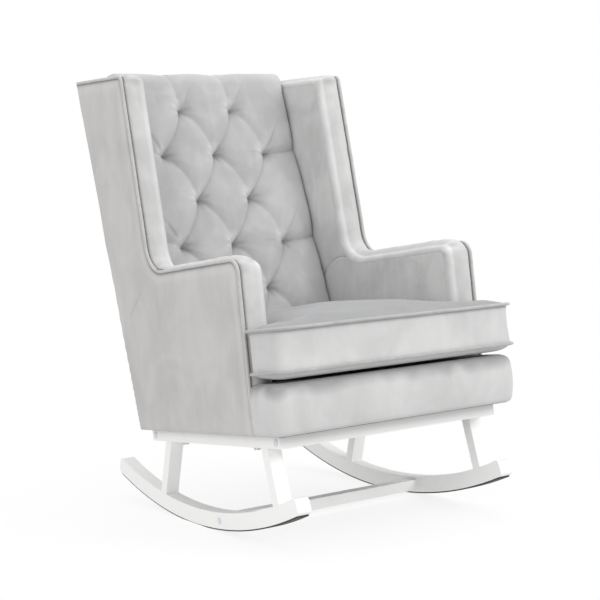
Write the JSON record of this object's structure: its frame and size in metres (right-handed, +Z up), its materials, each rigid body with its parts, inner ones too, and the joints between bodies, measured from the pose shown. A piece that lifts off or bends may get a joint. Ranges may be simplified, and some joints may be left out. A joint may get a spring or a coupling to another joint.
{
  "type": "rocking chair",
  "caption": "Upholstered wing-back rocking chair with tufted back, padded arms, a loose T-shaped seat cushion and a white wooden rocker frame.",
  "frame": {"origin": "on the floor, under the middle of the chair's bounding box", "axes": "+Z up, the chair faces -Y, +X is the sitter's left"},
  "size_m": [0.62, 0.8831, 1.0296],
  "materials": {
    "white_paint": "satin white paint on solid wood",
    "felt": "dense dark felt",
    "beech": "plain beech",
    "zinc_steel": "zinc plated",
    "cap_plastic": "pale matt plastic",
    "black_plastic": "matt",
    "spring_steel": "drawn wire",
    "plywood": "raw plywood",
    "pine": "raw sawn pine",
    "foam": "polyurethane foam",
    "webbing": "woven elastic webbing",
    "cambric": "black non-woven dust cloth",
    "velvet": "brushed light-grey velvet",
    "deck_cloth": "plain grey cloth",
    "piping_velvet": "velvet-covered cord",
    "zip_tape": "woven grey tape",
    "zip_metal": "nickel plated"
  },
  "bodies": {
    "chair": {"left_runner": "white_paint", "right_runner": "white_paint", "left_runner_felt": "felt", "right_runner_felt": "felt", "front_left_leg": "white_paint", "front_right_leg": "white_paint", "rear_left_leg": "white_paint", "rear_right_leg": "white_paint", "left_side_rail": "white_paint", "right_side_rail": "white_paint", "front_cross_rail": "white_paint", "rear_cross_rail": "white_paint", "lower_stretcher": "white_paint", "leg_dowels": "beech", "frame_bolts": "zinc_steel", "barrel_nuts": "zinc_steel", "bolt_caps": "cap_plastic", "body_bolts": "zinc_steel", "body_washers": "zinc_steel", "body_spacers": "black_plastic", "tee_nuts": "zinc_steel", "left_side_frame": "plywood", "right_side_frame": "plywood", "left_seat_rail": "pine", "right_seat_rail": "pine", "front_seat_rail": "pine", "front_rail_blocks": "pine", "rear_seat_rail": "pine", "back_top_rail": "pine", "back_lower_rail": "pine", "left_outer_padding": "foam", "right_outer_padding": "foam", "left_inner_padding": "foam", "right_inner_padding": "foam", "seat_springs": "spring_steel", "spring_clips": "zinc_steel", "seat_pad": "foam", "back_webbing": "webbing", "dust_cover": "cambric", "left_outer_side": "velvet", "right_outer_side": "velvet", "left_band": "velvet", "right_band": "velvet", "left_inner_arm": "velvet", "right_inner_arm": "velvet", "left_inner_wing": "velvet", "right_inner_wing": "velvet", "left_piping": "piping_velvet", "right_piping": "piping_velvet", "base_border": "velvet", "seat_deck": "deck_cloth", "tufted_back_pad": "velvet", "outer_back": "velvet"},
    "seat_cushion": {"cushion_core": "foam", "cushion_cover": "velvet", "cushion_top_piping": "piping_velvet", "cushion_bottom_piping": "piping_velvet", "cushion_zip": "zip_tape", "zip_slider": "zip_metal"}
  },
  "joints": [
    {"name": "cushion_slide", "type": "slide", "parent": "chair", "child": "seat_cushion", "axis": [0, -0.9962, 0.0872], "range_m": [0, 0.6]}
  ]
}
